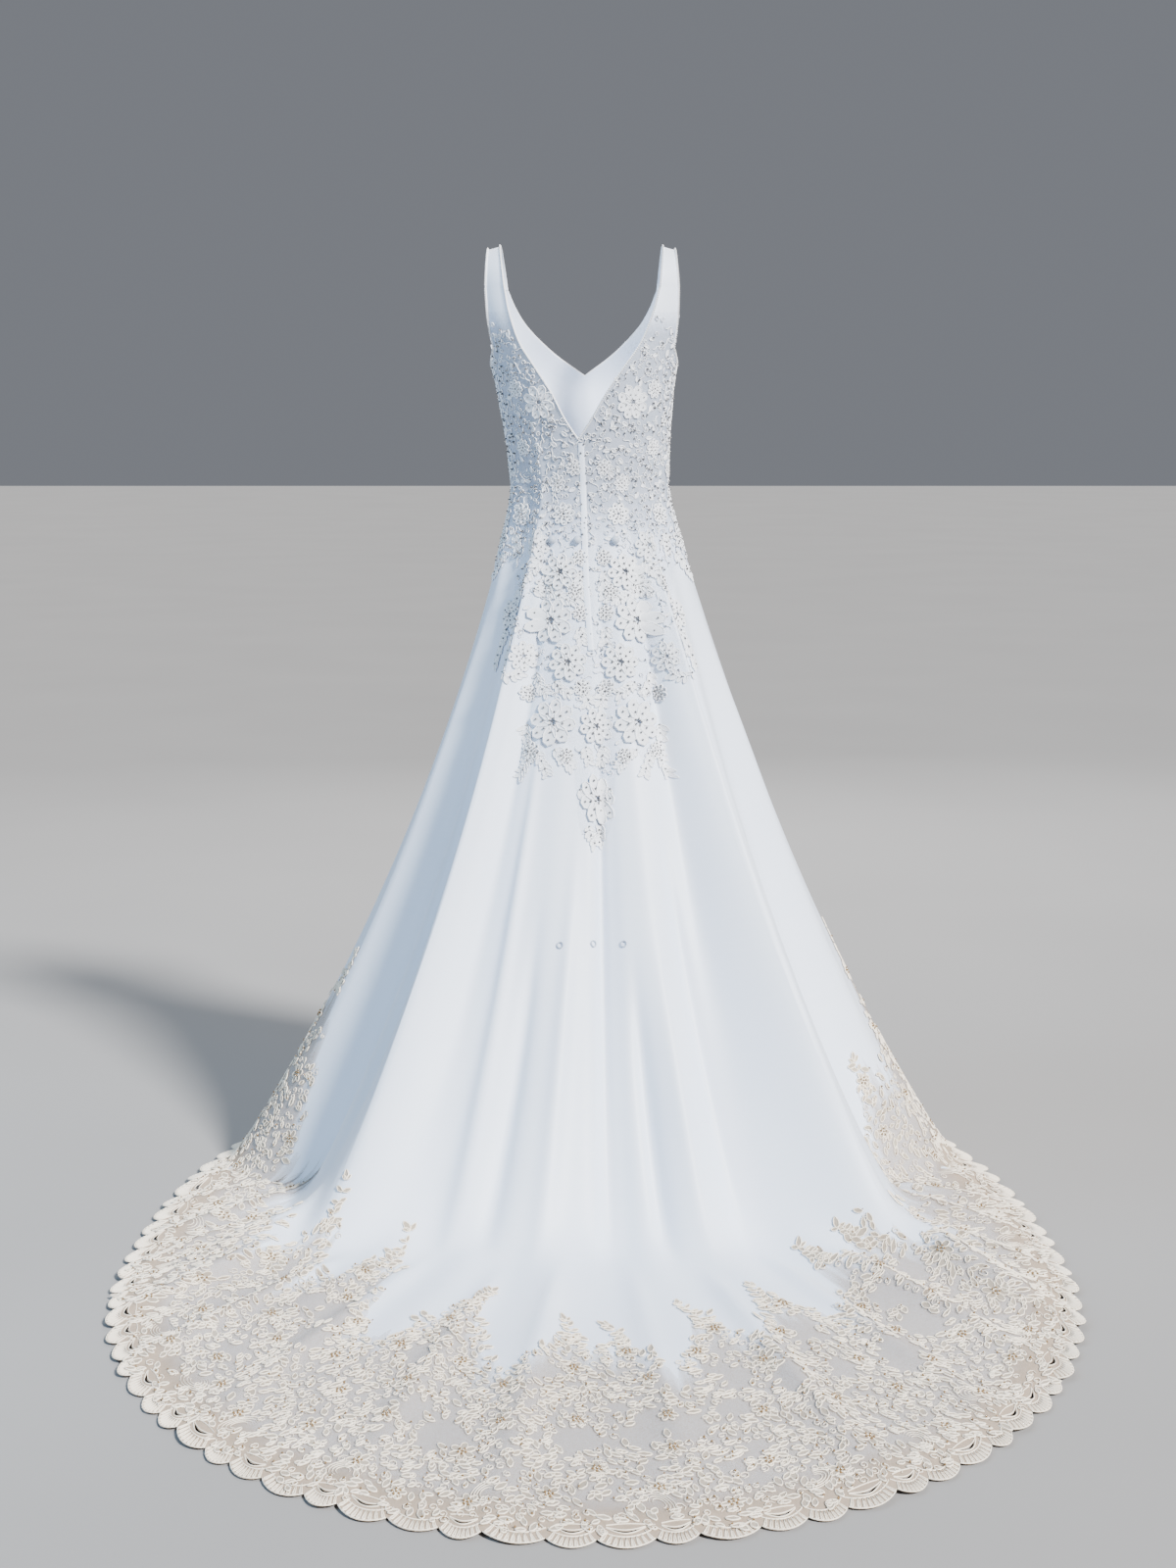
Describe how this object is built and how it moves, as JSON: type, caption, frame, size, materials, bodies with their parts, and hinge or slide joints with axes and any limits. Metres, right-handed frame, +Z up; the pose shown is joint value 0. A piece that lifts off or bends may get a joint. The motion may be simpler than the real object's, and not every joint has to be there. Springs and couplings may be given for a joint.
{
  "type": "wedding dress",
  "caption": "Sleeveless satin wedding dress with a deep V back, lace bodice and long train edged with a scalloped lace border, standing hollow in its worn form.",
  "frame": {"origin": "midpoint between the tops of the shoulder straps, where the dress is held", "axes": "+Z up; the wearer faces +Y; the back, the zip and the train are towards -Y; +X is the wearer's right"},
  "size_m": [1.3648, 1.9373, 1.4731],
  "materials": {
    "satin": "white satin with a soft sheen",
    "bodice_lace": "white corded lace with small silvery beads",
    "hem_lace": "ivory corded lace with clusters of amber beads"
  },
  "bodies": {
    "root": {"back_panel_left": "satin", "back_panel_right": "satin", "side_panel_left": "satin", "side_panel_right": "satin", "front_panel": "satin", "strap_left": "satin", "strap_right": "satin", "zip_lap": "satin", "button_left": "satin", "button_middle": "satin", "button_right": "satin", "loop_left": "satin", "loop_middle": "satin", "loop_right": "satin", "bodice_lace_back_left": "bodice_lace", "bodice_lace_back_right": "bodice_lace", "bodice_lace_side_left": "bodice_lace", "bodice_lace_side_right": "bodice_lace", "bodice_lace_front": "bodice_lace", "lace_flower_left_1": "bodice_lace", "lace_flower_left_2": "bodice_lace", "lace_flower_left_3": "bodice_lace", "lace_flower_left_4": "bodice_lace", "lace_flower_left_5": "bodice_lace", "lace_flower_right_1": "bodice_lace", "lace_flower_right_2": "bodice_lace", "lace_flower_right_3": "bodice_lace", "lace_flower_right_4": "bodice_lace", "lace_flower_right_5": "bodice_lace", "lace_flower_upper": "bodice_lace", "lace_flower_point": "bodice_lace", "hem_lace_back_left": "hem_lace", "hem_lace_back_right": "hem_lace", "hem_lace_side_left": "hem_lace", "hem_lace_side_right": "hem_lace", "hem_lace_front": "hem_lace"}
  },
  "joints": []
}
